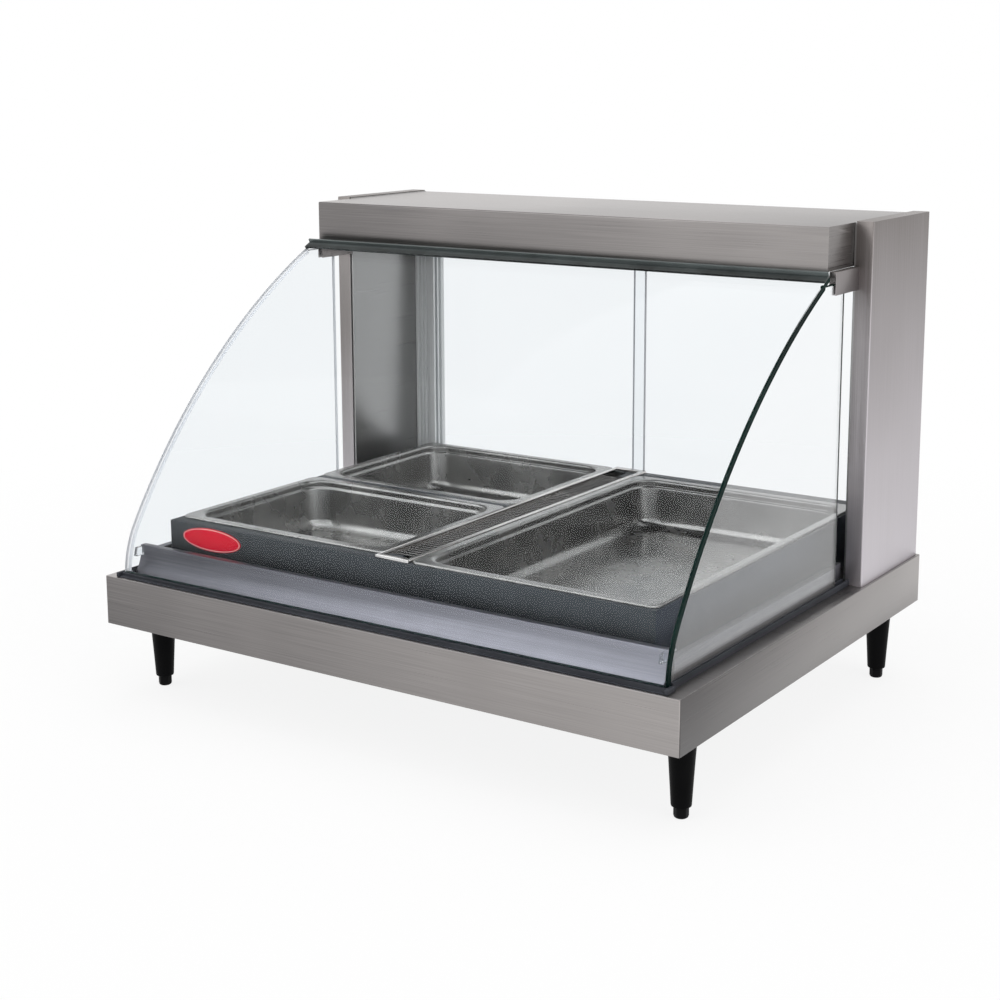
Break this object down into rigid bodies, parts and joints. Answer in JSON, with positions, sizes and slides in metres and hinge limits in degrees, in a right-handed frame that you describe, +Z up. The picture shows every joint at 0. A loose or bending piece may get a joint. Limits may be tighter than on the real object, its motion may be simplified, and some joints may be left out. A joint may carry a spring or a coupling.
{
  "type": "heated display case",
  "caption": "Countertop heated food display case: curved flip-up front glass, side glass, rear sliding doors, radiant canopy on posts, lift-out pans over a heated base on screw feet.",
  "frame": {"origin": "centre of the footprint, at the underside of the feet", "axes": "+X to the right as the customer faces the curved glass, +Y towards the operator's sliding doors, +Z up"},
  "size_m": [0.825, 0.662, 0.608],
  "materials": {
    "stainless": "brushed satin stainless sheet",
    "galvanised": "dull zinc-coated sheet",
    "deck_aluminium": "hard-anodised grey",
    "element_sheath": "heat-darkened sheath",
    "insulation": "mineral fibre mat",
    "slate_enamel": "dark slate grey hard-coated metal, satin",
    "bright_steel": "bright polished steel",
    "pan_steel": "bright pressed stainless",
    "badge_red": "gloss red, blank",
    "clear_glass": "clear toughened glass with a green edge",
    "black_rail": "black anodised",
    "hinge_steel": "plain steel",
    "grey_gasket": "dark grey gasket",
    "satin_aluminium": "satin anodised",
    "clear_plastic": "translucent pale plastic",
    "reflector": "bright reflector sheet",
    "ceramic": "off-white ceramic",
    "lamp_glass": "frosted lamp envelope",
    "black_plastic": "black moulded plastic",
    "indicator_red": "red lens",
    "harness_sleeve": "braided sleeve",
    "black_leg": "satin black",
    "foot_black": "black plated steel"
  },
  "bodies": {
    "case": {"base_housing": "stainless", "canopy_shell": "stainless", "post_left": "stainless", "post_right": "stainless", "post_covers": "stainless", "control_panel": "stainless", "side_glass_brackets": "stainless", "bottom_cover": "galvanised", "insulation_tray": "galvanised", "canopy_underside": "galvanised", "heat_deck": "deck_aluminium", "base_element": "element_sheath", "heating_elements": "element_sheath", "insulation_mat": "insulation", "pan_skirt": "slate_enamel", "cross_bar": "slate_enamel", "divider_rails": "bright_steel", "wire_grid": "bright_steel", "badge_plate": "badge_red", "side_glass_left": "clear_glass", "side_glass_right": "clear_glass", "channel_end_caps": "black_rail", "glass_hinge_brackets": "hinge_steel", "screws": "hinge_steel", "glass_channel": "grey_gasket", "side_glass_gaskets": "grey_gasket", "front_apron": "satin_aluminium", "side_coamings": "satin_aluminium", "door_jambs": "satin_aluminium", "door_track_bottom": "satin_aluminium", "door_track_top": "satin_aluminium", "glass_stops": "clear_plastic", "element_reflectors": "reflector", "element_insulators": "ceramic", "lamp_sockets": "ceramic", "display_lamps": "lamp_glass", "thermostat_bodies": "black_plastic", "rocker_frames": "black_plastic", "cord_gland": "black_plastic", "terminal_blocks": "black_plastic", "indicator_lens": "indicator_red", "wire_harness": "harness_sleeve", "legs": "black_leg"},
    "front_glass": {"front_glass": "clear_glass", "glass_hinge_rail": "black_rail"},
    "door_left": {"rear_door_left": "clear_glass", "door_pull_left": "clear_plastic"},
    "door_right": {"rear_door_right": "clear_glass", "door_pull_right": "clear_plastic"},
    "full_pan": {"pan_full": "pan_steel"},
    "front_half_pan": {"pan_half_front": "pan_steel"},
    "rear_half_pan": {"pan_half_rear": "pan_steel"},
    "base_heat_knob": {"base_heat_knob": "black_plastic"},
    "top_heat_knob": {"top_heat_knob": "black_plastic"},
    "power_rocker": {"power_rocker": "black_plastic"},
    "lamp_rocker": {"lamp_rocker": "black_plastic"},
    "foot_front_left": {"foot_front_left": "foot_black"},
    "foot_front_right": {"foot_front_right": "foot_black"},
    "foot_rear_left": {"foot_rear_left": "foot_black"},
    "foot_rear_right": {"foot_rear_right": "foot_black"}
  },
  "joints": [
    {"name": "front_glass_hinge", "type": "hinge", "parent": "case", "child": "front_glass", "pos_m": [0, 0.06883, 0.54833], "axis": [-1, 0, 0], "range_deg": [0, 60]},
    {"name": "door_left_slide", "type": "slide", "parent": "case", "child": "door_left", "axis": [1, 0, 0], "range_m": [0, 0.34]},
    {"name": "door_right_slide", "type": "slide", "parent": "case", "child": "door_right", "axis": [-1, 0, 0], "range_m": [0, 0.34]},
    {"name": "full_pan_lift", "type": "hinge", "parent": "case", "child": "full_pan", "pos_m": [0.187, -0.269, 0.2263], "axis": [1, 0, 0], "range_deg": [0, 12]},
    {"name": "front_half_pan_lift", "type": "hinge", "parent": "case", "child": "front_half_pan", "pos_m": [-0.187, -0.255, 0.2263], "axis": [1, 0, 0], "range_deg": [0, 12]},
    {"name": "rear_half_pan_lift", "type": "hinge", "parent": "case", "child": "rear_half_pan", "pos_m": [-0.187, 0.021, 0.2263], "axis": [1, 0, 0], "range_deg": [0, 12]},
    {"name": "base_heat_knob_turn", "type": "hinge", "parent": "case", "child": "base_heat_knob", "pos_m": [0.09, 0.305, 0.126], "axis": [0, -1, 0], "range_deg": [0, 270]},
    {"name": "top_heat_knob_turn", "type": "hinge", "parent": "case", "child": "top_heat_knob", "pos_m": [0.15, 0.305, 0.126], "axis": [0, -1, 0], "range_deg": [0, 270]},
    {"name": "power_rocker_tip", "type": "hinge", "parent": "case", "child": "power_rocker", "pos_m": [0.205, 0.303, 0.126], "axis": [-1, 0, 0], "range_deg": [0, 16]},
    {"name": "lamp_rocker_tip", "type": "hinge", "parent": "case", "child": "lamp_rocker", "pos_m": [0.245, 0.303, 0.126], "axis": [-1, 0, 0], "range_deg": [0, 16]},
    {"name": "foot_front_left_screw", "type": "slide", "parent": "case", "child": "foot_front_left", "axis": [0, 0, -1], "range_m": [0, 0.015]},
    {"name": "foot_front_right_screw", "type": "slide", "parent": "case", "child": "foot_front_right", "axis": [0, 0, -1], "range_m": [0, 0.015]},
    {"name": "foot_rear_left_screw", "type": "slide", "parent": "case", "child": "foot_rear_left", "axis": [0, 0, -1], "range_m": [0, 0.015]},
    {"name": "foot_rear_right_screw", "type": "slide", "parent": "case", "child": "foot_rear_right", "axis": [0, 0, -1], "range_m": [0, 0.015]}
  ]
}
